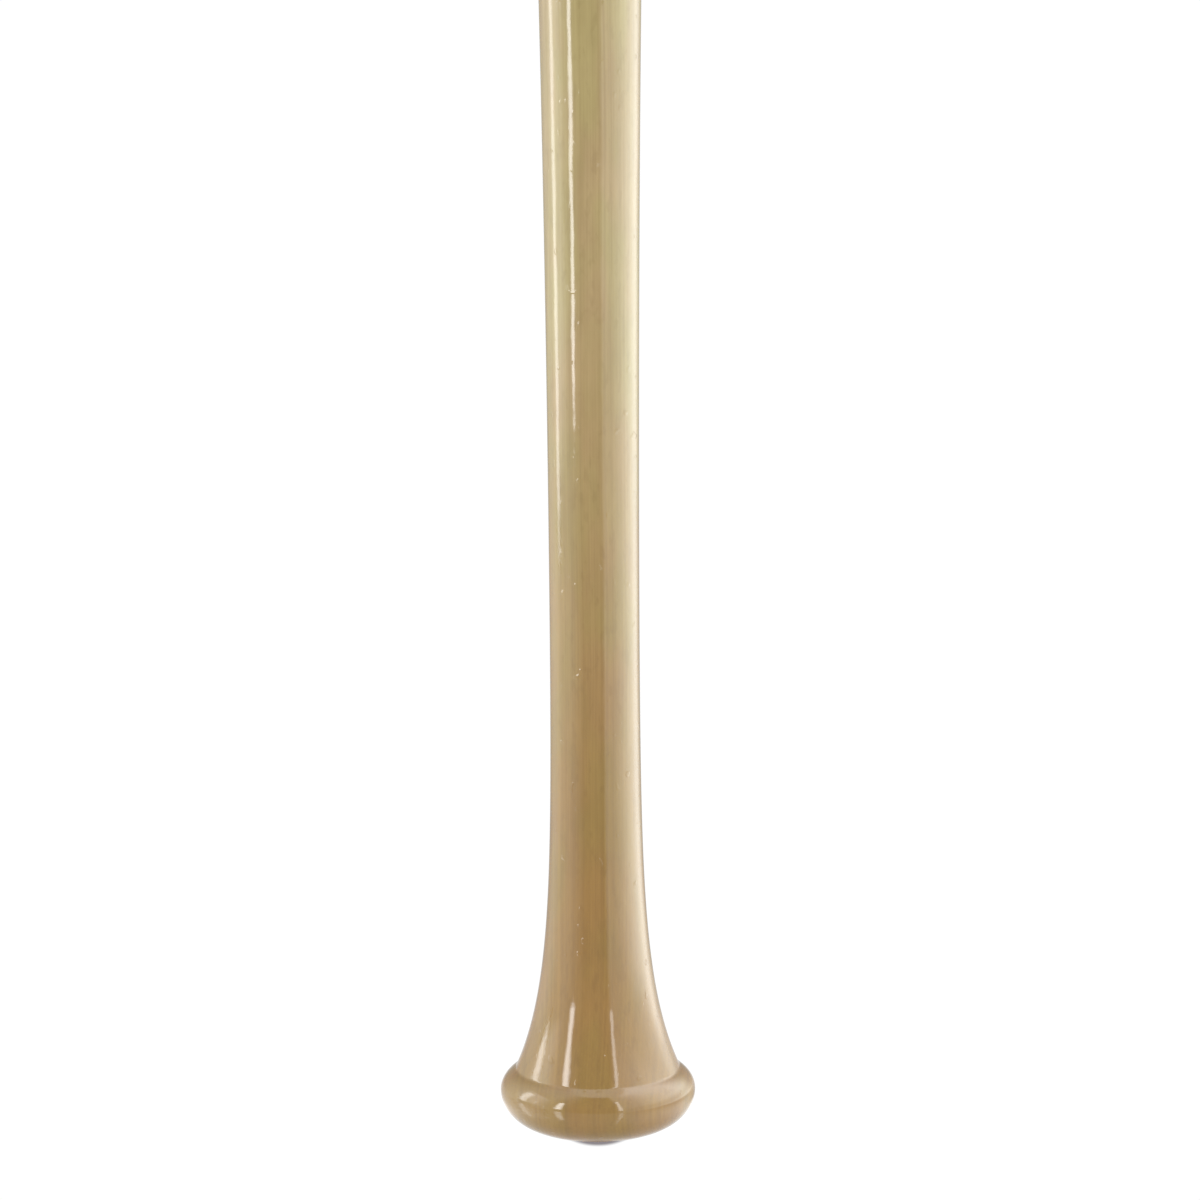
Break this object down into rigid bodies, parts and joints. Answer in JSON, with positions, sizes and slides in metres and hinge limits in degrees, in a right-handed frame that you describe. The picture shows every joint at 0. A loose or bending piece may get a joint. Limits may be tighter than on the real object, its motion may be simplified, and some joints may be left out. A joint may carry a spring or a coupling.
{
  "type": "baseball bat",
  "caption": "Turned solid-wood baseball bat with a flared knob, slim handle, long taper, cupped barrel end and a thick clear gloss coat.",
  "frame": {"origin": "centre of the knob's flat base", "axes": "+Z along the bat's axis from the knob to the barrel; the growth rings' edges face -Y and +Y, the flat faces of the grain face -X and +X"},
  "size_m": [0.0635, 0.0634, 0.8636],
  "materials": {
    "wood": "bare turned hardwood with straight fine grain",
    "lacquer": "thick clear high-gloss lacquer"
  },
  "bodies": {
    "root": {"wood_body": "wood", "lacquer_coat": "lacquer"}
  },
  "joints": []
}
